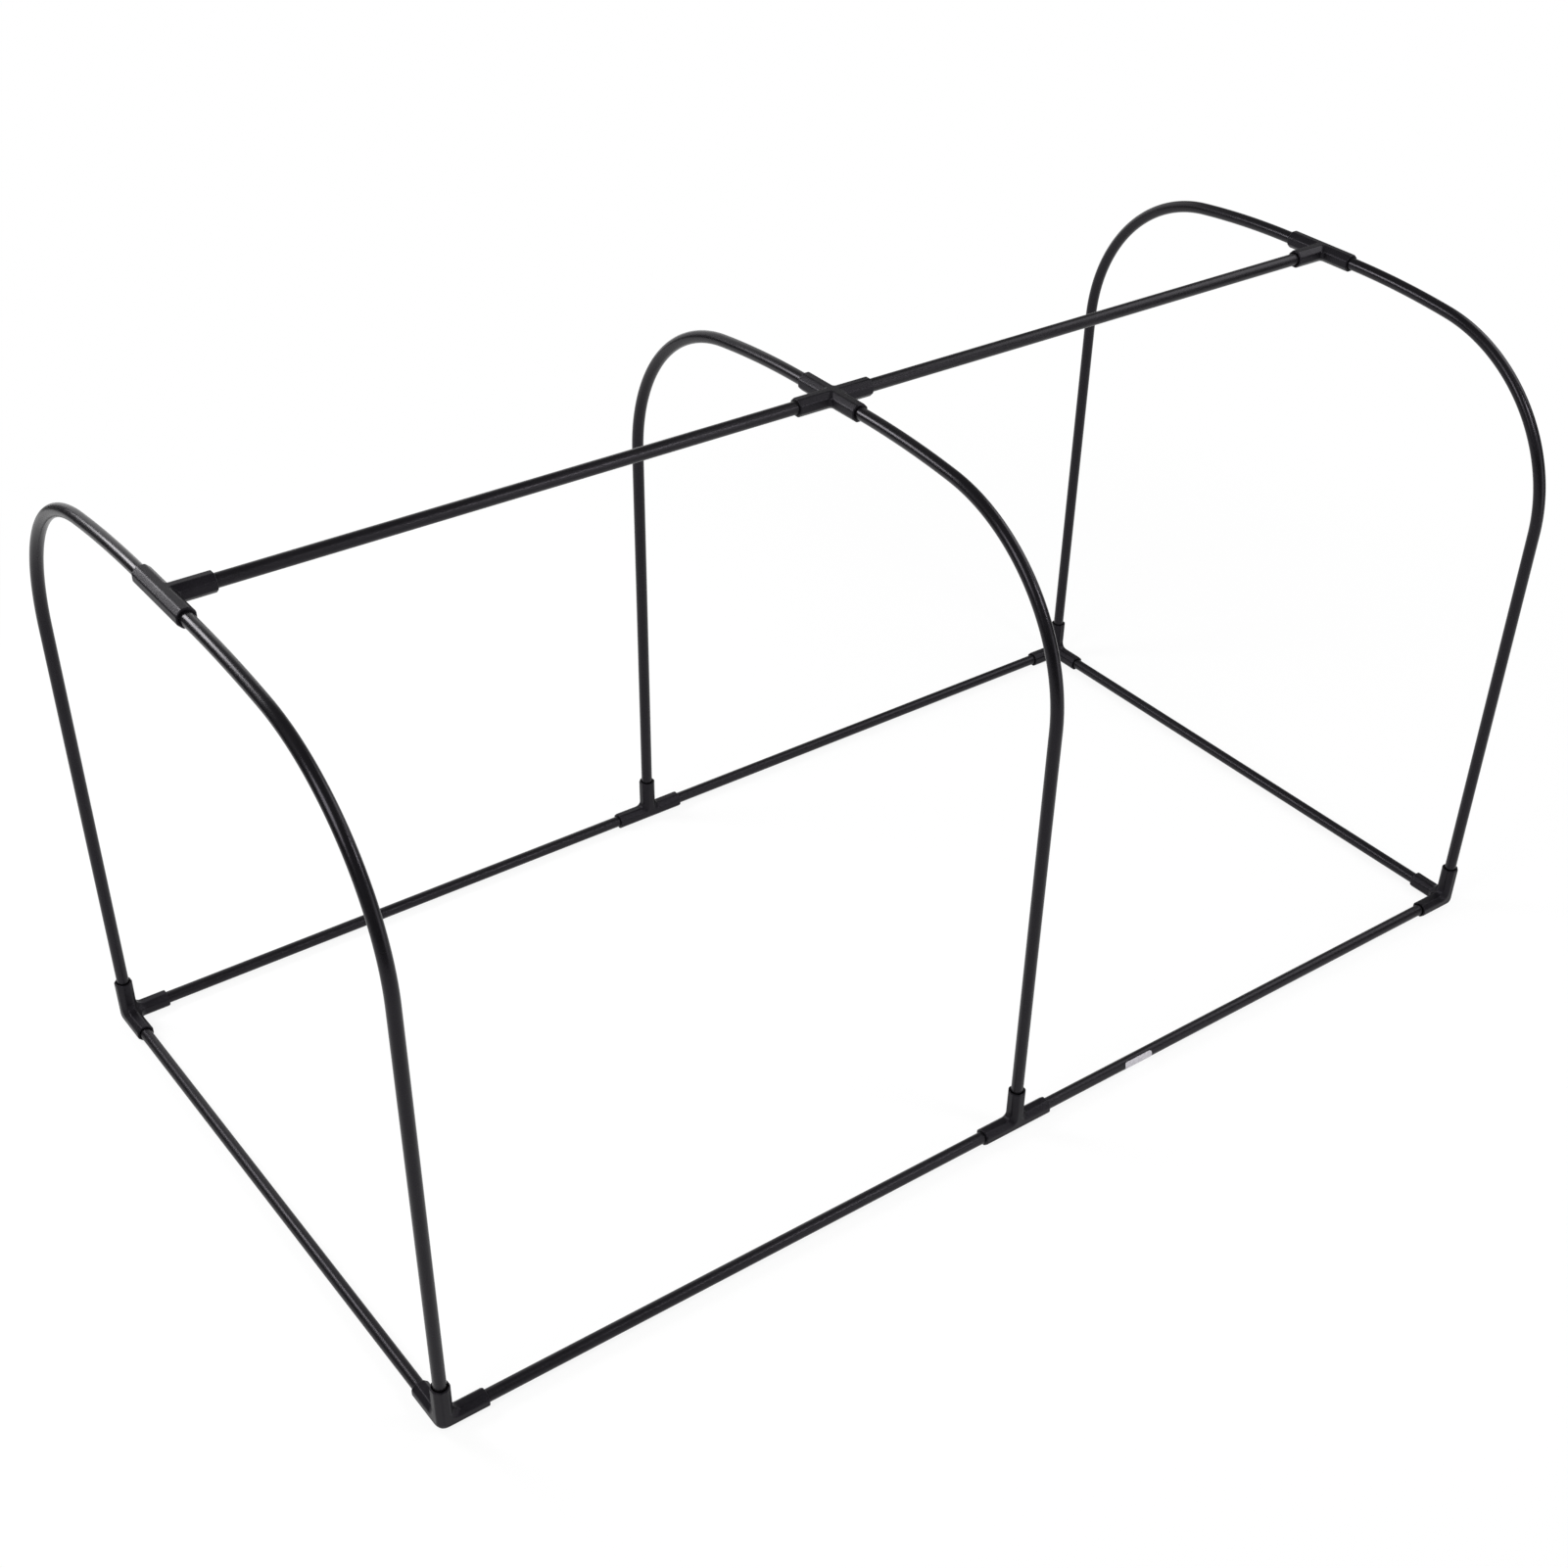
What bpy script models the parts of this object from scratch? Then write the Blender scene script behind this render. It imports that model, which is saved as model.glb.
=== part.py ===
"""Push-fit hoop frame for a garden row cover: bent steel half hoops, base and ridge
rods, and moulded eight-sided connectors with blind sockets.

Metres, +Z up. X runs along the ridge, Y across the bed, and the frame stands on z = 0
with its middle over the origin. Front is -Y and left is -X.
"""
import math

import bmesh
import bpy
from mathutils import Matrix, Vector

# Overall sizes, measured between tube axes
RIDGE_LENGTH = 1.184
BED_WIDTH = 0.606
RIDGE_RISE = 0.592

# Tubes: thin steel with a plastic coat
TUBE_DIAMETER = 0.0112
TUBE_WALL = 0.0008
TUBE_SIDES = 16

# Half hoops: upright leg, main bend, then a shallow crown that ends level in its socket
BEND_RADIUS = 0.165
CROWN_ANGLE = math.radians(7.0)
LEVEL_PAST_SOCKET = 0.003
BEND_STEPS = 12
CROWN_STEPS = 3

# Moulded connectors
CONNECTOR_SIDES = 8
SOCKET_WALL = 0.00195
SOCKET_DEPTH = 0.029
STOP_WALL = 0.00115
SOCKET_SIDES = 16
LEAD_IN = 0.0006
LEAD_IN_LENGTH = 0.0012
RIM_CHAMFER = 0.0008
CORNER_FILLET = 0.0058
BASE_TEE_FILLET = 0.0045
RIDGE_FILLET = 0.0022
OUTER_ROUND = 0.004
EDGE_SOFTENING = 0.0006
FILLET_STEPS = 3
ROUND_STEPS = 3
FLAT_WITHIN = math.radians(0.5)
SHARP_ABOVE = math.radians(30.0)

# Fits
SOCKET_CLEARANCE = 0.0003
END_CLEARANCE = 0.0003
CUT_PAST = 0.001

# Colours: linear red, green, blue, then roughness and metallic
TUBE_COAT = ((0.012, 0.012, 0.013), 0.32, 0.0)
MOULDED_BLACK = ((0.017, 0.017, 0.018), 0.52, 0.0)

TUBE_RADIUS = TUBE_DIAMETER / 2
SOCKET_FLAT = TUBE_RADIUS + SOCKET_CLEARANCE
CONNECTOR_FLAT = SOCKET_FLAT + SOCKET_WALL
SOCKET_STOP = CONNECTOR_FLAT + STOP_WALL
ARM_LENGTH = SOCKET_STOP + SOCKET_DEPTH
ARM_ROOT = 2 * CONNECTOR_FLAT
TUBE_END = SOCKET_STOP + END_CLEARANCE
MERGE = 0.00001

BASE_Z = CONNECTOR_FLAT
RIDGE_Z = BASE_Z + RIDGE_RISE
END_X = RIDGE_LENGTH / 2
SIDE_Y = BED_WIDTH / 2

LEFT, RIGHT = Vector((-1, 0, 0)), Vector((1, 0, 0))
FRONT, BACK = Vector((0, -1, 0)), Vector((0, 1, 0))
UP = Vector((0, 0, 1))


def clear_scene():
    for obj in list(bpy.data.objects):
        bpy.data.objects.remove(obj)


def new_collection(name):
    collection = bpy.data.collections.new(name)
    bpy.context.scene.collection.children.link(collection)
    return collection


def paint(obj, look):
    """Give a piece its own plain material."""
    colour, roughness, metallic = look
    material = bpy.data.materials.new(obj.name + "_finish")
    material.use_nodes = True
    shader = material.node_tree.nodes["Principled BSDF"]
    shader.inputs["Base Color"].default_value = (*colour, 1.0)
    shader.inputs["Roughness"].default_value = roughness
    shader.inputs["Metallic"].default_value = metallic
    obj.data.materials.clear()
    obj.data.materials.append(material)


def facing(direction):
    """Turn a shape drawn along +Z to run along a direction, its flats kept square to the frame."""
    return direction.to_track_quat("Z", "Y").to_matrix().to_4x4()


# Tubes

def tube(name, points, place, collection):
    """Hollow tube along a path: an open skin of the outer diameter, thickened inwards."""
    curve = bpy.data.curves.new(name + "_path", "CURVE")
    curve.dimensions = "3D"
    curve.twist_mode = "MINIMUM"
    curve.bevel_depth = TUBE_RADIUS
    curve.bevel_resolution = (TUBE_SIDES - 4) // 2
    curve.use_fill_caps = False
    spline = curve.splines.new("POLY")
    spline.points.add(len(points) - 1)
    for point, position in zip(spline.points, points):
        point.co = (*position, 1.0)
    drawn = bpy.data.objects.new(name + "_path", curve)
    collection.objects.link(drawn)
    seen = drawn.evaluated_get(bpy.context.evaluated_depsgraph_get())
    mesh = bpy.data.meshes.new_from_object(seen)
    bpy.data.objects.remove(drawn)
    mesh.name = name
    mesh.shade_smooth()
    obj = bpy.data.objects.new(name, mesh)
    obj.location = place
    collection.objects.link(obj)
    wall = obj.modifiers.new("wall", "SOLIDIFY")
    wall.thickness = TUBE_WALL
    wall.offset = -1.0
    paint(obj, TUBE_COAT)
    return obj


def straight_rod(name, start, end, collection):
    """Rod between two connector centres, short of each by the socket stop."""
    along = (end - start).normalized()
    half = (end - start).length / 2 - TUBE_END
    return tube(name, (-along * half, along * half), (start + end) / 2, collection)


def hoop_outline():
    """Distance from the middle plane and height above the base axis, from the foot up."""
    level_end = ARM_LENGTH + LEVEL_PAST_SOCKET
    bend_y = SIDE_Y - BEND_RADIUS
    crown_y = bend_y + BEND_RADIUS * math.sin(CROWN_ANGLE)
    crown_radius = (crown_y - level_end) / math.sin(CROWN_ANGLE)
    crown_z = RIDGE_RISE - crown_radius
    bend_z = crown_z + (crown_radius - BEND_RADIUS) * math.cos(CROWN_ANGLE)
    outline = [(SIDE_Y, TUBE_END)]
    for step in range(BEND_STEPS + 1):
        angle = step / BEND_STEPS * (math.pi / 2 - CROWN_ANGLE)
        outline.append((bend_y + BEND_RADIUS * math.cos(angle),
                        bend_z + BEND_RADIUS * math.sin(angle)))
    for step in range(1, CROWN_STEPS + 1):
        angle = CROWN_ANGLE * (1 - step / CROWN_STEPS)
        outline.append((level_end + crown_radius * math.sin(angle),
                        crown_z + crown_radius * math.cos(angle)))
    outline.append((TUBE_END, RIDGE_RISE))
    return outline


def half_hoop(name, x, side, collection):
    points = [Vector((0, side * y, z)) for y, z in hoop_outline()]
    return tube(name, points, Vector((x, 0, BASE_Z)), collection)


# Connectors

def arm_prism(bm, arm, others):
    """Eight-sided arm cut on the mitre planes that it shares with the other arms."""
    half_side = math.pi / CONNECTOR_SIDES
    corner_radius = CONNECTOR_FLAT / math.cos(half_side)
    drawn = bmesh.new()
    bmesh.ops.create_cone(drawn, cap_ends=True, segments=CONNECTOR_SIDES,
                          radius1=corner_radius, radius2=corner_radius,
                          depth=ARM_LENGTH + ARM_ROOT)
    bmesh.ops.rotate(drawn, verts=drawn.verts, cent=(0, 0, 0),
                     matrix=Matrix.Rotation(half_side, 3, "Z"))
    bmesh.ops.translate(drawn, verts=drawn.verts, vec=(0, 0, (ARM_LENGTH - ARM_ROOT) / 2))
    bmesh.ops.transform(drawn, matrix=facing(arm), verts=drawn.verts)
    for other in others:
        whole = drawn.verts[:] + drawn.edges[:] + drawn.faces[:]
        bmesh.ops.bisect_plane(drawn, geom=whole, plane_co=(0, 0, 0), plane_no=other - arm,
                               clear_outer=True)
    piece = bpy.data.meshes.new("arm")
    drawn.to_mesh(piece)
    drawn.free()
    bm.from_mesh(piece)
    bpy.data.meshes.remove(piece)


def is_rim(edge, arms):
    """An edge round the open end of an arm."""
    return any(all(abs(v.co.dot(arm) - ARM_LENGTH) < MERGE for v in edge.verts)
               for arm in arms)


def round_edges(bm, edges, size, steps):
    bmesh.ops.bevel(bm, geom=edges, offset=size, offset_type="OFFSET", segments=steps,
                    profile=0.5, affect="EDGES", clamp_overlap=True, material=-1)


def connector_body(name, arms, fillet):
    """Arms welded at their mitres, filleted where they meet, rounded at the outer corner and
    softened along the edges of their facets."""
    bm = bmesh.new()
    for arm in arms:
        arm_prism(bm, arm, [other for other in arms if other is not arm])
    bmesh.ops.remove_doubles(bm, verts=bm.verts, dist=MERGE)
    bmesh.ops.dissolve_limit(bm, angle_limit=FLAT_WITHIN, verts=bm.verts, edges=bm.edges)
    mitres = [e for e in bm.edges if all(v.co.length < ARM_ROOT for v in e.verts)]
    inner = [e for e in mitres if not e.is_convex]
    outer = [e for e in mitres if e.is_convex and len(arms) == 3
             and all(v.co.dot(sum(arms, Vector())) < 0 for v in e.verts)]
    round_edges(bm, inner, fillet, FILLET_STEPS)
    outer = [e for e in outer if e.is_valid]
    round_edges(bm, outer, OUTER_ROUND, ROUND_STEPS)
    facet_edges = [e for e in bm.edges if e.is_convex and not is_rim(e, arms)
                   and e.calc_face_angle() > SHARP_ABOVE]
    round_edges(bm, facet_edges, EDGE_SOFTENING, 1)
    rims = [e for e in bm.edges if is_rim(e, arms)]
    round_edges(bm, rims, RIM_CHAMFER, 1)
    bmesh.ops.recalc_face_normals(bm, faces=bm.faces)
    mesh = bpy.data.meshes.new(name)
    bm.to_mesh(mesh)
    bm.free()
    return mesh


def socket_cutters(name, arms):
    """One turned cutter for each arm: blind bore with a lead-in at the mouth."""
    bore = SOCKET_FLAT / math.cos(math.pi / SOCKET_SIDES)
    profile = (
        (0, SOCKET_STOP),
        (bore, SOCKET_STOP),
        (bore, ARM_LENGTH - LEAD_IN_LENGTH),
        (bore + LEAD_IN, ARM_LENGTH),
        (bore + LEAD_IN, ARM_LENGTH + CUT_PAST),
        (0, ARM_LENGTH + CUT_PAST),
    )
    bm = bmesh.new()
    for arm in arms:
        drawn = [bm.verts.new((radius, 0, height)) for radius, height in profile]
        line = [bm.edges.new(pair) for pair in zip(drawn, drawn[1:])]
        bmesh.ops.spin(bm, geom=drawn + line, cent=(0, 0, 0), axis=(0, 0, 1),
                       angle=math.tau, steps=SOCKET_SIDES, use_merge=True)
        turned = [v for v in bm.verts if not v.tag]
        bmesh.ops.transform(bm, matrix=facing(arm), verts=turned)
        for vert in turned:
            vert.tag = True
    bmesh.ops.remove_doubles(bm, verts=bm.verts, dist=MERGE)
    bmesh.ops.recalc_face_normals(bm, faces=bm.faces)
    mesh = bpy.data.meshes.new(name)
    bm.to_mesh(mesh)
    bm.free()
    return mesh


def connector(name, place, arms, fillet, parts, cutters):
    obj = bpy.data.objects.new(name, connector_body(name, arms, fillet))
    obj.location = place
    parts.objects.link(obj)
    cutter = bpy.data.objects.new(name + "_sockets", socket_cutters(name + "_sockets", arms))
    cutter.location = place
    cutter.hide_render = True
    cutter.display_type = "WIRE"
    cutters.objects.link(cutter)
    cut = obj.modifiers.new("sockets", "BOOLEAN")
    cut.operation = "DIFFERENCE"
    cut.solver = "EXACT"
    cut.object = cutter
    paint(obj, MOULDED_BLACK)
    return obj


def build():
    clear_scene()
    parts = new_collection("hoop_row_cover")
    cutters = new_collection("cutters")
    ends = (("left", -END_X, RIGHT), ("right", END_X, LEFT))
    sides = (("front", -SIDE_Y, BACK), ("back", SIDE_Y, FRONT))

    for side, y, across in sides:
        middle = Vector((0, y, BASE_Z))
        connector(f"base_tee_{side}", middle, (LEFT, RIGHT, UP), BASE_TEE_FILLET,
                  parts, cutters)
        for end, x, along in ends:
            corner = Vector((x, y, BASE_Z))
            connector(f"corner_{side}_{end}", corner, (along, across, UP), CORNER_FILLET,
                      parts, cutters)
            straight_rod(f"base_rod_{side}_{end}", corner, middle, parts)

    top = Vector((0, 0, RIDGE_Z))
    connector("ridge_cross", top, (LEFT, RIGHT, FRONT, BACK), RIDGE_FILLET, parts, cutters)
    for end, x, along in ends:
        ridge_end = Vector((x, 0, RIDGE_Z))
        connector(f"ridge_tee_{end}", ridge_end, (FRONT, BACK, along), RIDGE_FILLET,
                  parts, cutters)
        straight_rod(f"ridge_rod_{end}", ridge_end, top, parts)
        straight_rod(f"end_rod_{end}", Vector((x, -SIDE_Y, BASE_Z)),
                     Vector((x, SIDE_Y, BASE_Z)), parts)

    for hoop, x in (("left", -END_X), ("middle", 0), ("right", END_X)):
        half_hoop(f"hoop_{hoop}_front", x, -1, parts)
        half_hoop(f"hoop_{hoop}_back", x, 1, parts)


build()
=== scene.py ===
"""Looks of the hoop frame: coated tubes and softened mouldings on a pale studio floor."""

import math

import bmesh
import bpy
from bpy.props import FloatProperty, FloatVectorProperty, IntProperty, PointerProperty
from bpy.types import Operator, Panel, PropertyGroup
from mathutils import Matrix, Vector


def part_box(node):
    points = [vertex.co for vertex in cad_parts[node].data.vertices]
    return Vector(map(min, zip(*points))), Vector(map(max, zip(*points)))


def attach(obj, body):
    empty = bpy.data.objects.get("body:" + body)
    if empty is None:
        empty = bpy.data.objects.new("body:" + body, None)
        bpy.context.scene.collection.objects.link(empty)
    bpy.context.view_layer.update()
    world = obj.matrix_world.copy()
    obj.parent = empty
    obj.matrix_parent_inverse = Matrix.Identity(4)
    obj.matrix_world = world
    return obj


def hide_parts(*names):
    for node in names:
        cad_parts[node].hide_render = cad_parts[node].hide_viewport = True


bl_info = {
    "name": "Hoop frame looks",
    "version": (1, 0, 0),
    "blender": (4, 5, 0),
    "location": "3D View > Sidebar > Hoop frame",
    "description": "Smooth tubes, moulded connectors and a studio floor for a hoop frame",
    "category": "Object",
}

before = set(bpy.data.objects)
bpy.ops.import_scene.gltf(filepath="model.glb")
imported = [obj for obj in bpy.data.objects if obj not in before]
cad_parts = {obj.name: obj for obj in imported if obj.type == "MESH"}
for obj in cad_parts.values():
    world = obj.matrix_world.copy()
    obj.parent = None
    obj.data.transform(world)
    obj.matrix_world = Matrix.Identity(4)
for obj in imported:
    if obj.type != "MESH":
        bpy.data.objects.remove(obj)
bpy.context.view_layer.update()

BODY = "root"

LEFT, RIGHT = Vector((-1, 0, 0)), Vector((1, 0, 0))
FRONT, BACK = Vector((0, -1, 0)), Vector((0, 1, 0))
UP = Vector((0, 0, 1))
HALF = 0.5

# Axis lines of the frame, read from the boxes of its nodes
RING_LOW, RING_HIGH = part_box("ridge_cross")
HOOP_LOW, HOOP_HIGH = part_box("hoop_right_back")
ROD_LOW, ROD_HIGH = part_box("base_rod_back_right")
TUBE_RADIUS = (ROD_HIGH.z - ROD_LOW.z) / 2
CONNECTOR_FLAT = (RING_HIGH.z - RING_LOW.z) / 2
ARM_LENGTH = RING_HIGH.x
END_X = (HOOP_LOW.x + HOOP_HIGH.x) / 2
SIDE_Y = HOOP_HIGH.y - TUBE_RADIUS
BASE_Z = (ROD_LOW.z + ROD_HIGH.z) / 2
RIDGE_Z = (RING_LOW.z + RING_HIGH.z) / 2
TUBE_END = HOOP_LOW.y


class HoopFrameSizes(PropertyGroup):
    """Sizes of the finished surfaces."""
    bend_radius: FloatProperty(
        name="Bend radius", description="Radius of a hoop's main bend, to the tube's axis",
        default=0.165, unit="LENGTH")
    crown_angle: FloatProperty(
        name="Crown angle", description="Turn of the shallow arc over the top of a hoop",
        default=math.radians(7.0), subtype="ANGLE")
    level_run: FloatProperty(
        name="Level run", description="Level stretch of a hoop outside its ridge socket",
        default=0.003, unit="LENGTH")
    tube_wall: FloatProperty(
        name="Tube wall", description="Wall of a tube with its coat",
        default=0.0008, unit="LENGTH")
    tube_sides: IntProperty(
        name="Tube sides", description="Faces round a tube", default=48)
    bend_steps: IntProperty(
        name="Bend steps", description="Steps along a hoop's main bend", default=56)
    socket_room: FloatProperty(
        name="Socket room", description="Room between a tube and its socket",
        default=0.0003, unit="LENGTH")
    socket_depth: FloatProperty(
        name="Socket depth", description="Depth of a socket from its mouth",
        default=0.029, unit="LENGTH")
    lead_in: FloatProperty(
        name="Lead-in", description="Widening of a socket at its mouth",
        default=0.0006, unit="LENGTH")
    corner_fillet: FloatProperty(
        name="Corner fillet", description="Fillet between the arms of a corner connector",
        default=0.0058, unit="LENGTH")
    base_tee_fillet: FloatProperty(
        name="Base tee fillet", description="Fillet between the arms of a base tee",
        default=0.0045, unit="LENGTH")
    ridge_fillet: FloatProperty(
        name="Ridge fillet", description="Fillet between the arms of a ridge connector",
        default=0.0022, unit="LENGTH")
    outer_round: FloatProperty(
        name="Outer round", description="Rounding of a corner connector's outer corner",
        default=0.004, unit="LENGTH")
    edge_round: FloatProperty(
        name="Edge round", description="Softening of the long edges between facets",
        default=0.0012, unit="LENGTH")
    mouth_round: FloatProperty(
        name="Mouth round", description="Rounding of a socket's rim",
        default=0.0009, unit="LENGTH")


class HoopFrameColours(PropertyGroup):
    """Colours of the finished surfaces, as linear light."""
    tube: FloatVectorProperty(
        name="Tube coat", description="Plastic coat of the tubes",
        default=(0.0042, 0.0039, 0.0047), subtype="COLOR", size=3)
    tube_dust: FloatVectorProperty(
        name="Tube dust", description="Fine dust on the tubes",
        default=(0.0072, 0.0067, 0.0080), subtype="COLOR", size=3)
    connector: FloatVectorProperty(
        name="Connector", description="Moulded plastic of the connectors",
        default=(0.0047, 0.0043, 0.0056), subtype="COLOR", size=3)
    connector_bloom: FloatVectorProperty(
        name="Connector bloom", description="Paler bloom of the moulded plastic",
        default=(0.0083, 0.0076, 0.0098), subtype="COLOR", size=3)
    sticker: FloatVectorProperty(
        name="Sticker", description="Bare pale sticker on the front right base rod",
        default=(0.50, 0.48, 0.52), subtype="COLOR", size=3)
    floor: FloatVectorProperty(
        name="Floor", description="Pale studio floor",
        default=(0.92, 0.92, 0.92), subtype="COLOR", size=3)


# Shared node steps

def feed(tree, socket, value):
    """Join a socket to another one, or give it a plain value."""
    if isinstance(value, bpy.types.NodeSocket):
        tree.links.new(value, socket)
    else:
        socket.default_value = value


def add_node(tree, kind, place, **inputs):
    """New node. Its inputs are joined to other sockets or given plain values."""
    node = tree.nodes.new(kind)
    node.location = place
    for name, value in inputs.items():
        feed(tree, node.inputs[name.replace("_", " ")], value)
    return node


def math_node(tree, operation, place, *values):
    """Result of a Math node on sockets or plain numbers."""
    node = add_node(tree, "ShaderNodeMath", place)
    node.operation = operation
    for socket, value in zip(node.inputs, values):
        feed(tree, socket, value)
    return node.outputs["Value"]


def mix_node(tree, kind, place, factor, first, second):
    """Result of a Mix node between two sockets or two plain values."""
    node = add_node(tree, "ShaderNodeMix", place)
    node.data_type = kind
    for label, value in (("Factor", factor), ("A", first), ("B", second)):
        feed(tree, node.inputs[label], value)
    return node.outputs["Result"]


# Materials

# Low indices give the weak gloss of dusty black plastic
TUBE_INDEX = 1.30
CONNECTOR_INDEX = 1.26
GLOSS_TINT = (0.93, 0.88, 1.0)
ROD_ROUGHNESS = 0.37
HOOP_ROUGHNESS = 0.28
CONNECTOR_ROUGHNESS = 0.42
# Plain values that the tubes and the connectors give to the shared surface
TUBE_SURFACE = {"Bloom": 0.5, "Roughness Spread": 0.06, "Cloud Scale": 25.0,
                "Grain Scale": 500.0, "Grain Share": 0.3}
CONNECTOR_SURFACE = {"Bloom": 0.6, "Roughness Spread": 0.08, "Cloud Scale": 60.0,
                     "Grain Scale": 1600.0, "Grain Share": 0.7}
# Strength and depth of the relief
TUBE_RELIEF = (0.10, 0.00005)
CONNECTOR_RELIEF = (0.20, 0.0001)
# Sockets of the shared surface
SURFACE_INPUTS = (
    ("Base Colour", "NodeSocketColor", (0.01, 0.01, 0.01, 1.0)),
    ("Bloom Colour", "NodeSocketColor", (0.03, 0.03, 0.03, 1.0)),
    ("Bloom", "NodeSocketFloat", 0.5),
    ("Roughness", "NodeSocketFloat", 0.4),
    ("Roughness Spread", "NodeSocketFloat", 0.08),
    ("Cloud Scale", "NodeSocketFloat", 30.0),
    ("Grain Scale", "NodeSocketFloat", 1500.0),
    ("Grain Share", "NodeSocketFloat", 0.5),
)
SURFACE_OUTPUTS = (("Colour", "NodeSocketColor"), ("Roughness", "NodeSocketFloat"),
                   ("Height", "NodeSocketFloat"))
# Detail and roughness of the noises for patches, for grain and for the long faint waves
CLOUD_NOISE = (4.0, 0.6)
GRAIN_NOISE = (2.0, 0.5)
WAVE_NOISE = (1.0, 0.5)
WAVE_SCALE = 160.0
# Noise values between which the bloom goes from none to full
BLOOM_FROM, BLOOM_TO = 0.38, 0.68


def soft_surface_group():
    """Cloudy bloom, fine grain and faint unevenness of a black plastic surface."""
    name = "soft_black_surface"
    if name in bpy.data.node_groups:
        return bpy.data.node_groups[name]
    group = bpy.data.node_groups.new(name, "ShaderNodeTree")
    sockets = group.interface
    for label, kind, value in SURFACE_INPUTS:
        sockets.new_socket(label, in_out="INPUT", socket_type=kind).default_value = value
    for label, kind in SURFACE_OUTPUTS:
        sockets.new_socket(label, in_out="OUTPUT", socket_type=kind)
    given = add_node(group, "NodeGroupInput", (-900, 0)).outputs
    put = add_node(group, "NodeGroupOutput", (700, 0)).inputs
    spot = add_node(group, "ShaderNodeTexCoord", (-900, -300)).outputs["Object"]
    cloud, grain, wave = (
        add_node(group, "ShaderNodeTexNoise", (-600, height), Vector=spot, Scale=scale,
                 Detail=detail, Roughness=rough).outputs["Fac"]
        for height, scale, (detail, rough) in (
            (200, given["Cloud Scale"], CLOUD_NOISE),
            (-250, given["Grain Scale"], GRAIN_NOISE),
            (-550, WAVE_SCALE, WAVE_NOISE)))
    patches = add_node(group, "ShaderNodeMapRange", (-380, 200), Value=cloud,
                       From_Min=BLOOM_FROM, From_Max=BLOOM_TO).outputs["Result"]
    amount = math_node(group, "MULTIPLY", (-160, 200), patches, given["Bloom"])
    colour = mix_node(group, "RGBA", (80, 250), amount, given["Base Colour"],
                      given["Bloom Colour"])
    centred = math_node(group, "SUBTRACT", (-160, 0), patches, HALF)
    rough = math_node(group, "MULTIPLY_ADD", (80, 0), centred, given["Roughness Spread"],
                      given["Roughness"])
    height = mix_node(group, "FLOAT", (80, -350), given["Grain Share"], wave, grain)
    for label, value in (("Colour", colour), ("Roughness", rough), ("Height", height)):
        group.links.new(value, put[label])
    return group


def black_material(name, colours, index, roughness, settings, relief):
    """Black plastic of a base and a bloom colour, with the shared surface's detail."""
    if name in bpy.data.materials:
        return bpy.data.materials[name]
    material = bpy.data.materials.new(name)
    material.use_nodes = True
    tree = material.node_tree
    surface = add_node(tree, "ShaderNodeGroup", (-600, 0))
    surface.node_tree = soft_surface_group()
    base, bloom = colours
    for label, value in {"Base Colour": (*base, 1.0), "Bloom Colour": (*bloom, 1.0),
                         "Roughness": roughness, **settings}.items():
        surface.inputs[label].default_value = value
    strength, depth = relief
    bump = add_node(tree, "ShaderNodeBump", (-300, -250), Strength=strength, Distance=depth,
                    Height=surface.outputs["Height"])
    shader = tree.nodes["Principled BSDF"]
    for label, value in (("IOR", index), ("Specular Tint", (*GLOSS_TINT, 1.0)),
                         ("Base Color", surface.outputs["Colour"]),
                         ("Roughness", surface.outputs["Roughness"]),
                         ("Normal", bump.outputs["Normal"])):
        feed(tree, shader.inputs[label], value)
    return material


def tube_material(name, roughness):
    """Black plastic coat of a steel tube."""
    colours = bpy.context.scene.hoop_frame_colours
    return black_material(name, (colours.tube, colours.tube_dust), TUBE_INDEX, roughness,
                          TUBE_SURFACE, TUBE_RELIEF)


def rod_material():
    return tube_material("straight_rod_finish", ROD_ROUGHNESS)


def hoop_material():
    """The rods' coat, a little glossier on the bent hoops."""
    return tube_material("bent_hoop_finish", HOOP_ROUGHNESS)


def connector_material():
    """Moulded black plastic, duller and more finely grained than the coat."""
    colours = bpy.context.scene.hoop_frame_colours
    return black_material("moulded_connector_finish",
                          (colours.connector, colours.connector_bloom), CONNECTOR_INDEX,
                          CONNECTOR_ROUGHNESS, CONNECTOR_SURFACE, CONNECTOR_RELIEF)


# Shared mesh steps

# Points closer than this are one
MERGE = 0.00001
# Edges whose faces meet at more than this angle are shaded sharp
SHARP_ABOVE = math.radians(30.0)


def mesh_of(bm, name):
    """Turn a finished bmesh into a mesh."""
    mesh = bpy.data.meshes.new(name)
    bm.to_mesh(mesh)
    bm.free()
    return mesh


def set_out(name, data):
    """Put a new object into the scene, in place."""
    thing = bpy.data.objects.new(name, data)
    bpy.context.scene.collection.objects.link(thing)
    return thing


def new_piece(bm, name, material, node=None):
    """Make an object of a finished mesh that rides on the frame's one body."""
    mesh = mesh_of(bm, name)
    mesh.shade_smooth()
    mesh.set_sharp_from_angle(angle=SHARP_ABOVE)
    mesh.materials.append(material)
    piece = set_out(name, mesh)
    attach(piece, BODY)
    if node:
        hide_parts(node)
    return piece


def facing(direction):
    """Turn a shape drawn along +Z to a direction, with its flats square to the frame."""
    return direction.to_track_quat("Z", "Y").to_matrix().to_4x4()


def ring(bm, centre, along, radius, sides):
    """Edges of a circle round a line."""
    drawn = bmesh.ops.create_circle(bm, segments=sides, radius=radius,
                                    matrix=Matrix.Translation(centre) @ facing(along))
    return list(dict.fromkeys(edge for vert in drawn["verts"] for edge in vert.link_edges))


def loop_verts(edges):
    """Vertices of some edges, each once and always in the same order."""
    return list(dict.fromkeys(vert for edge in edges for vert in edge.verts))


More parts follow.
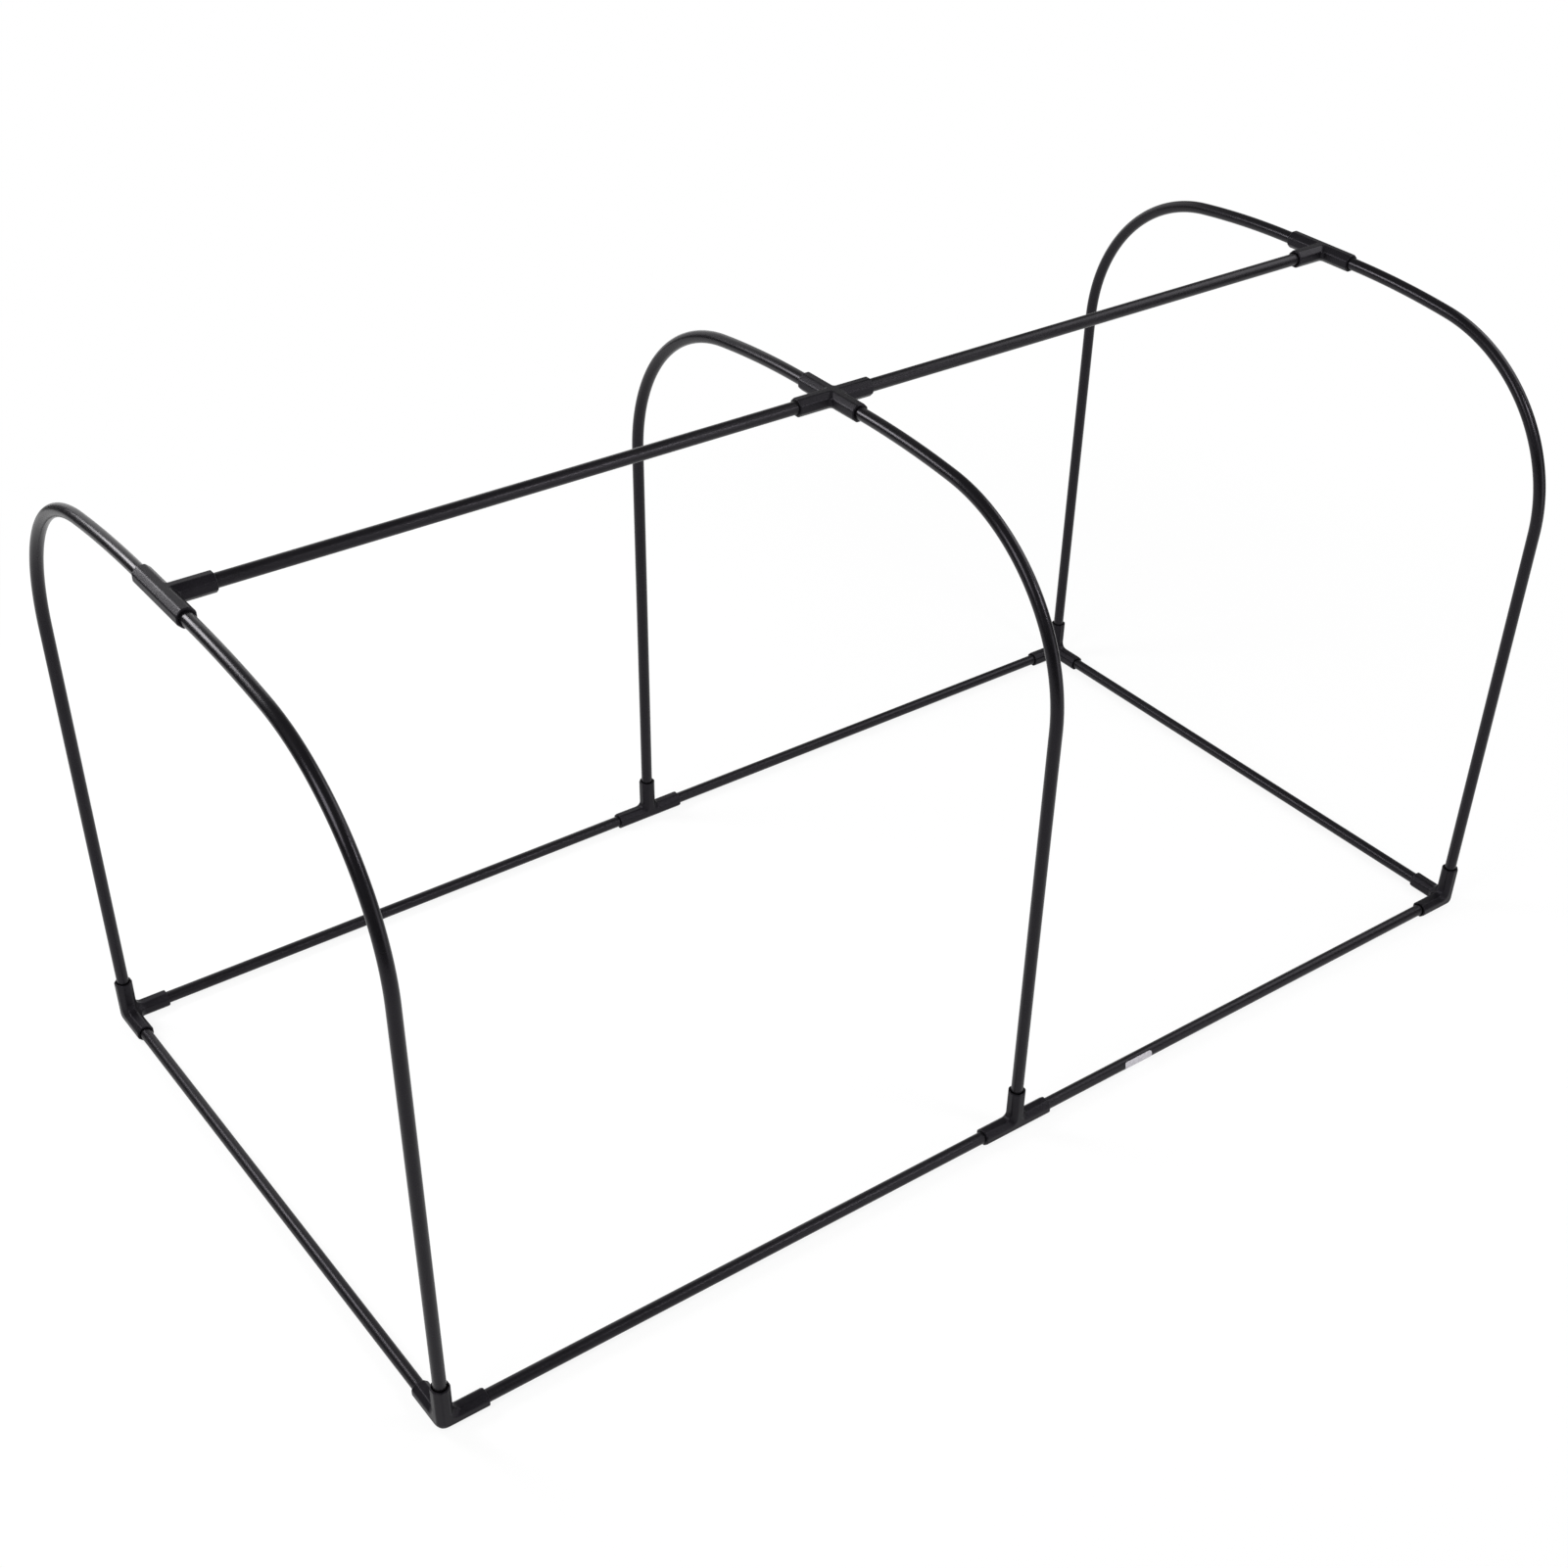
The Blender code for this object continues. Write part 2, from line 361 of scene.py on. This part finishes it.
def push(bm, edges, offset):
    """Extrude a loop of edges and return the loop at its far end."""
    grown = bmesh.ops.extrude_edge_only(bm, edges=edges)["geom"]
    verts = [item for item in grown if isinstance(item, bmesh.types.BMVert)]
    bmesh.ops.translate(bm, verts=verts, vec=offset)
    return [item for item in grown if isinstance(item, bmesh.types.BMEdge)
            and all(vert in verts for vert in item.verts)]


def turn(bm, edges, centre, angle, steps):
    """Sweep a loop of edges round a line along X and return the loop at its far end."""
    swept = bmesh.ops.spin(bm, geom=loop_verts(edges) + edges, cent=centre, axis=RIGHT,
                           angle=angle, steps=steps)
    return [item for item in swept["geom_last"] if isinstance(item, bmesh.types.BMEdge)]


# Tubes

# The crown turns so little that a quarter of the bend's steps keeps it smooth
CROWN_STEP_SHARE = 4


def thicken(bm, wall):
    """Give an open tube skin its wall, inwards."""
    bmesh.ops.recalc_face_normals(bm, faces=bm.faces)
    bmesh.ops.solidify(bm, geom=bm.faces[:], thickness=wall)
    bmesh.ops.recalc_face_normals(bm, faces=bm.faces)


def straight_tube(node):
    """Rod along the longest side of its node's box."""
    low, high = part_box(node)
    reach = high - low
    along = RIGHT if reach.x > reach.y else BACK
    middle = (low + high) / 2
    run = along * reach.dot(along)
    sizes = bpy.context.scene.hoop_frame_sizes
    bm = bmesh.new()
    edges = ring(bm, middle - run / 2, along, TUBE_RADIUS, sizes.tube_sides)
    push(bm, edges, run)
    thicken(bm, sizes.tube_wall)
    return new_piece(bm, node + "_tube", rod_material(), node)


def half_hoop_tube(node, x, side):
    """Upright leg, main bend, shallow crown and level end, swept as one tube."""
    sizes = bpy.context.scene.hoop_frame_sizes
    crown = sizes.crown_angle
    level_y = ARM_LENGTH + sizes.level_run
    bend_y = SIDE_Y - sizes.bend_radius
    crown_y = bend_y + sizes.bend_radius * math.sin(crown)
    crown_radius = (crown_y - level_y) / math.sin(crown)
    crown_z = RIDGE_Z - crown_radius
    bend_z = crown_z + (crown_radius - sizes.bend_radius) * math.cos(crown)
    foot = Vector((x, side * SIDE_Y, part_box(node)[0].z))
    bm = bmesh.new()
    edges = ring(bm, foot, UP, TUBE_RADIUS, sizes.tube_sides)
    edges = push(bm, edges, UP * (bend_z - foot.z))
    edges = turn(bm, edges, (x, side * bend_y, bend_z), side * (math.pi / 2 - crown),
                 sizes.bend_steps)
    edges = turn(bm, edges, (x, side * level_y, crown_z), side * crown,
                 sizes.bend_steps // CROWN_STEP_SHARE)
    push(bm, edges, BACK * side * (TUBE_END - level_y))
    thicken(bm, sizes.tube_wall)
    return new_piece(bm, node + "_tube", hoop_material(), node)


# Connectors

CONNECTOR_SIDES = 8
# Steps across each rounding
FILLET_STEPS = 8
OUTER_STEPS = 8
EDGE_STEPS = 3
MOUTH_STEPS = 4
# Faces that meet within this angle are one flat face
FLAT_WITHIN = math.radians(0.5)
# Length of an arm's prism past the middle, before it is cut, and reach of its mitres
ROOT_LENGTH = 2 * CONNECTOR_FLAT


def arm_prism(bm, arm, others):
    """Eight-sided arm cut on the mitre planes that it shares with the other arms."""
    half_side = math.pi / CONNECTOR_SIDES
    radius = CONNECTOR_FLAT / math.cos(half_side)
    drawn = bmesh.new()
    bmesh.ops.create_cone(drawn, cap_ends=True, segments=CONNECTOR_SIDES, radius1=radius,
                          radius2=radius, depth=ARM_LENGTH + ROOT_LENGTH)
    bmesh.ops.rotate(drawn, verts=drawn.verts, cent=(0, 0, 0),
                     matrix=Matrix.Rotation(half_side, 3, "Z"))
    bmesh.ops.translate(drawn, verts=drawn.verts, vec=UP * (ARM_LENGTH - ROOT_LENGTH) / 2)
    bmesh.ops.transform(drawn, matrix=facing(arm), verts=drawn.verts)
    for other in others:
        whole = drawn.verts[:] + drawn.edges[:] + drawn.faces[:]
        bmesh.ops.bisect_plane(drawn, geom=whole, plane_co=(0, 0, 0), plane_no=other - arm,
                               clear_outer=True)
    piece = mesh_of(drawn, "arm")
    bm.from_mesh(piece)
    bpy.data.meshes.remove(piece)


def is_rim(edge, arms):
    """An edge round the open end of an arm."""
    return any(all(abs(vert.co.dot(arm) - ARM_LENGTH) < MERGE for vert in edge.verts)
               for arm in arms)


def round_edges(bm, edges, size, steps):
    """Round edges in a fixed number of steps."""
    bmesh.ops.bevel(bm, geom=edges, offset=size, offset_type="OFFSET", segments=steps,
                    profile=0.5, affect="EDGES", clamp_overlap=True, material=-1)


def moulding(arms, fillet):
    """Welded arms with fillets, rounded outer corner, softened facet edges and rims."""
    sizes = bpy.context.scene.hoop_frame_sizes
    bm = bmesh.new()
    for arm in arms:
        arm_prism(bm, arm, [other for other in arms if other is not arm])
    bmesh.ops.remove_doubles(bm, verts=bm.verts, dist=MERGE)
    bmesh.ops.dissolve_limit(bm, angle_limit=FLAT_WITHIN, verts=bm.verts, edges=bm.edges)
    mitres = [e for e in bm.edges if all(v.co.length < ROOT_LENGTH for v in e.verts)]
    inner = [e for e in mitres if not e.is_convex]
    outer = [e for e in mitres if e.is_convex and len(arms) == 3
             and all(v.co.dot(sum(arms, Vector())) < 0 for v in e.verts)]
    round_edges(bm, inner, fillet, FILLET_STEPS)
    round_edges(bm, [e for e in outer if e.is_valid], sizes.outer_round, OUTER_STEPS)
    facet_edges = [e for e in bm.edges if e.is_convex and not is_rim(e, arms)
                   and e.calc_face_angle() > SHARP_ABOVE]
    round_edges(bm, facet_edges, sizes.edge_round, EDGE_STEPS)
    round_edges(bm, [e for e in bm.edges if is_rim(e, arms)], sizes.mouth_round,
                MOUTH_STEPS)
    return bm


def open_socket(bm, arm):
    """Open an arm's end and sink a round blind socket with a lead-in into it."""
    sizes = bpy.context.scene.hoop_frame_sizes
    bore = TUBE_RADIUS + sizes.socket_room
    funnel = 2 * sizes.lead_in
    cap = max((f for f in bm.faces if f.normal.dot(arm) > math.cos(FLAT_WITHIN)),
              key=lambda f: f.calc_center_median().dot(arm))
    rim = cap.edges[:]
    bmesh.ops.delete(bm, geom=[cap], context="FACES_ONLY")
    mouth = ring(bm, arm * ARM_LENGTH, arm, bore + sizes.lead_in, sizes.tube_sides)
    bmesh.ops.bridge_loops(bm, edges=rim + mouth)
    throat = push(bm, mouth, -arm * funnel)
    narrow = bore / (bore + sizes.lead_in)
    about = Matrix.Translation(-arm * (ARM_LENGTH - funnel))
    turned = facing(arm)
    shrink = turned @ Matrix.Diagonal((narrow, narrow, 1, 1)) @ turned.inverted()
    bmesh.ops.transform(bm, matrix=about.inverted() @ shrink @ about,
                        verts=loop_verts(throat))
    stop = push(bm, throat, -arm * (sizes.socket_depth - funnel))
    bmesh.ops.contextual_create(bm, geom=stop)


def connector(node, centre, arms, fillet):
    """Moulding with an open socket in each arm, in its node's place."""
    bm = moulding(arms, fillet)
    for arm in arms:
        open_socket(bm, arm)
    bmesh.ops.remove_doubles(bm, verts=bm.verts, dist=MERGE)
    bmesh.ops.recalc_face_normals(bm, faces=bm.faces)
    bmesh.ops.translate(bm, verts=bm.verts, vec=centre)
    piece = new_piece(bm, node + "_moulding", connector_material(), node)
    even = piece.modifiers.new("even_shading", "WEIGHTED_NORMAL")
    even.keep_sharp = True
    return piece


# Sticker

# Its middle along the rod and its length
STICKER_X = 0.1515
STICKER_LENGTH = 0.034
# Its middle, as an angle above the rod's front line, and its turn round the rod
STICKER_MIDDLE = math.radians(-20.0)
STICKER_WRAP = math.radians(140.0)
STICKER_CORNER = 0.0026
STICKER_CORNER_STEPS = 6
# Gap under it, its own thickness and its strips round the rod
STICKER_LIFT = 0.00016
STICKER_THICKNESS = 0.0001
STICKER_STRIPS = 20
STICKER_ROUGHNESS = 0.45
# Share of the colour that the darker fibres keep, and the fibres' scale and detail
FIBRE_SHARE = 0.86
FIBRE_SCALE = 700.0
FIBRE_DETAIL = 3.0


def sticker_material():
    """Pale paper with faint fibres and nothing printed on it."""
    material = bpy.data.materials.new("bare_sticker_finish")
    material.use_nodes = True
    tree = material.node_tree
    spot = add_node(tree, "ShaderNodeTexCoord", (-900, 0)).outputs["Object"]
    fibres = add_node(tree, "ShaderNodeTexNoise", (-700, 0), Vector=spot,
                      Scale=FIBRE_SCALE, Detail=FIBRE_DETAIL).outputs["Fac"]
    colour = bpy.context.scene.hoop_frame_colours.sticker
    darker = (*(channel * FIBRE_SHARE for channel in colour), 1.0)
    tint = mix_node(tree, "RGBA", (-400, 0), fibres, darker, (*colour, 1.0))
    shader = tree.nodes["Principled BSDF"]
    feed(tree, shader.inputs["Base Color"], tint)
    feed(tree, shader.inputs["Roughness"], STICKER_ROUGHNESS)
    return material


def bare_sticker():
    """Rounded label, cut into strips and wrapped round the front right base rod."""
    rod_low, rod_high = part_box("base_rod_front_right")
    axis = (rod_low + rod_high) / 2
    reach = TUBE_RADIUS + STICKER_LIFT
    width = STICKER_WRAP * reach
    bm = bmesh.new()
    # A square of one metre, brought to the label's flat size
    bmesh.ops.create_grid(bm, x_segments=1, y_segments=1, size=HALF)
    bmesh.ops.scale(bm, verts=bm.verts, vec=(STICKER_LENGTH, width, 1))
    bmesh.ops.bevel(bm, geom=bm.verts[:], offset=STICKER_CORNER, offset_type="OFFSET",
                    segments=STICKER_CORNER_STEPS, profile=0.5, affect="VERTICES",
                    clamp_overlap=True, material=-1)
    for step in range(1, STICKER_STRIPS):
        height = (step / STICKER_STRIPS - HALF) * width
        whole = bm.verts[:] + bm.edges[:] + bm.faces[:]
        bmesh.ops.bisect_plane(bm, geom=whole, plane_co=(0, height, 0), plane_no=BACK)
    for vert in bm.verts:
        angle = STICKER_MIDDLE + vert.co.y / reach
        vert.co = (STICKER_X + vert.co.x, axis.y - reach * math.cos(angle),
                   axis.z + reach * math.sin(angle))
    for face in bm.faces:
        middle = face.calc_center_median()
        if face.normal.dot(middle - Vector((middle.x, axis.y, axis.z))) < 0:
            face.normal_flip()
    bmesh.ops.solidify(bm, geom=bm.faces[:], thickness=STICKER_THICKNESS)
    bmesh.ops.recalc_face_normals(bm, faces=bm.faces)
    return new_piece(bm, "bare_sticker", sticker_material())


# Stage

# Soft lamps that face the middle of the frame: name, place, size in metres and power in
# watts
LAMPS = (
    ("softbox_left", (-1.84, -0.55, 1.54), 0.80, 21.0),
    ("softbox_front", (0.52, -1.16, 1.28), 0.28, 6.5),
    ("softbox_back", (-0.99, 1.02, 1.21), 0.50, 15.0),
    ("softbox_right", (1.60, -0.34, 1.58), 1.20, 14.5),
    ("fill_back", (0.19, 1.60, 0.83), 1.50, 7.0),
    ("fill_low", (1.50, -2.50, 0.60), 1.60, 13.5),
)
# Studio round the frame: sine of the elevation and brightness
WORLD_STEPS = ((-0.10, 1.0), (0.08, 0.70), (0.30, 0.36), (0.60, 0.22), (0.90, 0.28))
# Half the side of the square floor
FLOOR_HALF = 6.0
# Shares of plain white that the floor shows at two distances from the frame's middle
WHITE_FROM, WHITE_TO = 0.7, 1.4
WHITE_NEAR, WHITE_FAR = 0.88, 1.0
# Painted shade: dark cards, seen only in reflections, round the left and at the front
# right: radius, height, then each card's first azimuth and turn
CARD_RADIUS = 2.2
CARD_HEIGHT = 1.1
CARD_ARCS = ((math.radians(75.0), math.radians(200.0)),
             (math.radians(-47.0), math.radians(42.0)))
CARD_STEPS = 48
# Grey of the cards: painted shade in the tubes' reflections
REFLECTED_SHADE_COLOUR = (0.10, 0.10, 0.10, 1.0)
CARD_ROUGHNESS = 0.9
# Camera at the photograph's viewing angle: lens and sensor in millimetres, and shift as
# shares of the picture's width
CAMERA_PLACE = (-1.06426, -1.36388, 1.38348)
CAMERA_TURN = (0.9038, -0.023135, -0.641648)
CAMERA_LENS = 50.752
CAMERA_SENSOR = 36.0
CAMERA_SHIFT = (-0.01698, 0.10)


def seen_or_mirrored(tree):
    """One for rays from the camera, from a glossy surface and through a clear one."""
    path = add_node(tree, "ShaderNodeLightPath", (-1100, 500)).outputs
    total = path["Is Camera Ray"]
    for ray in ("Is Glossy Ray", "Is Transmission Ray"):
        total = math_node(tree, "MAXIMUM", (-800, 500), total, path[ray])
    return total


def floor_material():
    """Pale matt surface that turns to plain white away from the frame."""
    material = bpy.data.materials.new("pale_floor")
    material.use_nodes = True
    tree = material.node_tree
    tree.nodes.remove(tree.nodes["Principled BSDF"])
    colour = (*bpy.context.scene.hoop_frame_colours.floor, 1.0)
    matt = add_node(tree, "ShaderNodeBsdfDiffuse", (-300, 100), Color=colour)
    white = add_node(tree, "ShaderNodeEmission", (-300, -100), Strength=1.0)
    spot = add_node(tree, "ShaderNodeTexCoord", (-1100, 0)).outputs["Object"]
    reach = add_node(tree, "ShaderNodeVectorMath", (-900, 0))
    reach.operation = "LENGTH"
    feed(tree, reach.inputs[0], spot)
    fade = add_node(tree, "ShaderNodeMapRange", (-700, 0), Value=reach.outputs["Value"],
                    From_Min=WHITE_FROM, From_Max=WHITE_TO,
                    To_Min=WHITE_NEAR, To_Max=WHITE_FAR)
    fade.interpolation_type = "SMOOTHSTEP"
    share = math_node(tree, "MULTIPLY", (-450, 300), seen_or_mirrored(tree),
                      fade.outputs["Result"])
    blend = add_node(tree, "ShaderNodeMixShader", (0, 0), Fac=share)
    feed(tree, blend.inputs[1], matt.outputs["BSDF"])
    feed(tree, blend.inputs[2], white.outputs["Emission"])
    output = tree.nodes["Material Output"]
    feed(tree, output.inputs["Surface"], blend.outputs["Shader"])
    return material


def lay_floor():
    """Pale floor that runs out into the white round it and keeps the soft shadow."""
    bm = bmesh.new()
    bmesh.ops.create_grid(bm, x_segments=1, y_segments=1, size=FLOOR_HALF)
    floor = set_out("floor", mesh_of(bm, "floor"))
    floor.data.materials.append(floor_material())


def reflected_shade_card_material():
    """Matt dark grey, seen only in reflections as painted shade."""
    material = bpy.data.materials.new("reflected_shade_card_finish")
    material.use_nodes = True
    shader = material.node_tree.nodes["Principled BSDF"]
    shader.inputs["Base Color"].default_value = REFLECTED_SHADE_COLOUR
    shader.inputs["Roughness"].default_value = CARD_ROUGHNESS
    return material


def stand_reflected_shade_cards():
    """Dark curved cards that only glossy rays see: painted shade that the dark side of the
    tubes mirrors.
    """
    bm = bmesh.new()
    for start, angle in CARD_ARCS:
        foot = Matrix.Rotation(start, 3, "Z") @ Vector((CARD_RADIUS, 0, 0))
        ends = [bm.verts.new(foot), bm.verts.new(foot + UP * CARD_HEIGHT)]
        edge = bm.edges.new(ends)
        bmesh.ops.spin(bm, geom=ends + [edge], cent=(0, 0, 0), axis=UP, angle=angle,
                       steps=CARD_STEPS)
    card = set_out("reflected_shade_card", mesh_of(bm, "reflected_shade_card"))
    # Hidden from the camera, from diffuse rays and from shadows, the cards only paint shade
    # into reflections
    card.visible_camera = False
    card.visible_diffuse = False
    card.visible_shadow = False
    card.data.materials.append(reflected_shade_card_material())


def light_world(scene):
    """Pale round the horizon, fading to a dimmer studio overhead."""
    world = bpy.data.worlds.new("studio")
    scene.world = world
    world.use_nodes = True
    tree = world.node_tree
    spot = add_node(tree, "ShaderNodeTexCoord", (-900, 0)).outputs["Generated"]
    rise = add_node(tree, "ShaderNodeSeparateXYZ", (-700, 0), Vector=spot).outputs["Z"]
    # The ramp runs from 0 to 1 where the rise runs from -1 to 1
    along = math_node(tree, "MULTIPLY_ADD", (-600, 150), rise, HALF, HALF)
    ramp = add_node(tree, "ShaderNodeValToRGB", (-500, 0), Fac=along)
    steps = ramp.color_ramp.elements
    while len(steps) < len(WORLD_STEPS):
        steps.new(1.0)
    for step, (height, level) in zip(steps, WORLD_STEPS):
        step.position = (height + 1) / 2
        step.color = (level, level, level, 1.0)
    background = tree.nodes["Background"]
    feed(tree, background.inputs["Color"], ramp.outputs["Color"])
    feed(tree, background.inputs["Strength"], 1.0)


def area_light(name, place, size, power):
    """Square lamp that faces the middle of the frame."""
    data = bpy.data.lights.new(name, "AREA")
    data.size = size
    data.energy = power
    lamp = set_out(name, data)
    lamp.location = place
    middle = Vector((0, 0, RIDGE_Z / 2))
    lamp.rotation_euler = (middle - lamp.location).to_track_quat("-Z", "Y").to_euler()
    lamp.visible_camera = False


def place_camera(scene):
    """Camera that sees the frame as the photograph does."""
    data = bpy.data.cameras.new("camera")
    data.sensor_width = CAMERA_SENSOR
    data.lens = CAMERA_LENS
    data.shift_x, data.shift_y = CAMERA_SHIFT
    camera = set_out("camera", data)
    camera.location = CAMERA_PLACE
    camera.rotation_euler = CAMERA_TURN
    scene.camera = camera


# Operators

class HOOPFRAME_OT_tubes(Operator):
    """Replace the rods and half hoops with smooth coated tubes"""
    bl_idname = "hoop_frame.tubes"
    bl_label = "Tubes"

    def execute(self, context):
        for end in ("left", "right"):
            for node in (f"base_rod_front_{end}", f"base_rod_back_{end}",
                         f"end_rod_{end}", f"ridge_rod_{end}"):
                straight_tube(node)
        for hoop, x in (("left", -END_X), ("middle", 0.0), ("right", END_X)):
            half_hoop_tube(f"hoop_{hoop}_front", x, -1)
            half_hoop_tube(f"hoop_{hoop}_back", x, 1)
        return {"FINISHED"}


class HOOPFRAME_OT_connectors(Operator):
    """Replace the connectors with softened mouldings"""
    bl_idname = "hoop_frame.connectors"
    bl_label = "Connectors"

    def execute(self, context):
        sizes = context.scene.hoop_frame_sizes
        ends = (("left", -END_X, RIGHT), ("right", END_X, LEFT))
        for side, y, across in (("front", -SIDE_Y, BACK), ("back", SIDE_Y, FRONT)):
            connector(f"base_tee_{side}", Vector((0, y, BASE_Z)), (LEFT, RIGHT, UP),
                      sizes.base_tee_fillet)
            for end, x, along in ends:
                connector(f"corner_{side}_{end}", Vector((x, y, BASE_Z)),
                          (along, across, UP), sizes.corner_fillet)
        connector("ridge_cross", Vector((0, 0, RIDGE_Z)), (LEFT, RIGHT, FRONT, BACK),
                  sizes.ridge_fillet)
        for end, x, along in ends:
            connector(f"ridge_tee_{end}", Vector((x, 0, RIDGE_Z)), (FRONT, BACK, along),
                      sizes.ridge_fillet)
        return {"FINISHED"}


class HOOPFRAME_OT_sticker(Operator):
    """Wrap a bare pale sticker round the lower half of the front right base rod"""
    bl_idname = "hoop_frame.sticker"
    bl_label = "Sticker"

    def execute(self, context):
        bare_sticker()
        return {"FINISHED"}


class HOOPFRAME_OT_stage(Operator):
    """Lay the floor and set the lights, the world and the camera"""
    bl_idname = "hoop_frame.stage"
    bl_label = "Stage"

    def execute(self, context):
        scene = context.scene
        scene.view_settings.view_transform = "Standard"
        lay_floor()
        stand_reflected_shade_cards()
        light_world(scene)
        for lamp in LAMPS:
            area_light(*lamp)
        place_camera(scene)
        return {"FINISHED"}


class HOOPFRAME_PT_panel(Panel):
    """Operators and settings of the hoop frame"""
    bl_idname = "HOOPFRAME_PT_panel"
    bl_label = "Hoop frame"
    bl_space_type = "VIEW_3D"
    bl_region_type = "UI"
    bl_category = "Hoop frame"

    def draw(self, context):
        for operator in OPERATORS:
            self.layout.operator(operator.bl_idname)
        for group in (context.scene.hoop_frame_sizes, context.scene.hoop_frame_colours):
            for key in group.bl_rna.properties.keys():
                if key not in ("rna_type", "name"):
                    self.layout.prop(group, key)


OPERATORS = (HOOPFRAME_OT_tubes, HOOPFRAME_OT_connectors, HOOPFRAME_OT_sticker,
             HOOPFRAME_OT_stage)
CLASSES = (HoopFrameSizes, HoopFrameColours, *OPERATORS, HOOPFRAME_PT_panel)


def register():
    for cls in CLASSES:
        bpy.utils.register_class(cls)
    bpy.types.Scene.hoop_frame_sizes = PointerProperty(type=HoopFrameSizes)
    bpy.types.Scene.hoop_frame_colours = PointerProperty(type=HoopFrameColours)


def unregister():
    del bpy.types.Scene.hoop_frame_colours
    del bpy.types.Scene.hoop_frame_sizes
    for cls in reversed(CLASSES):
        bpy.utils.unregister_class(cls)


def main():
    register()
    bpy.ops.hoop_frame.tubes()
    bpy.ops.hoop_frame.connectors()
    bpy.ops.hoop_frame.sticker()
    bpy.ops.hoop_frame.stage()


if __name__ == "__main__":
    main()
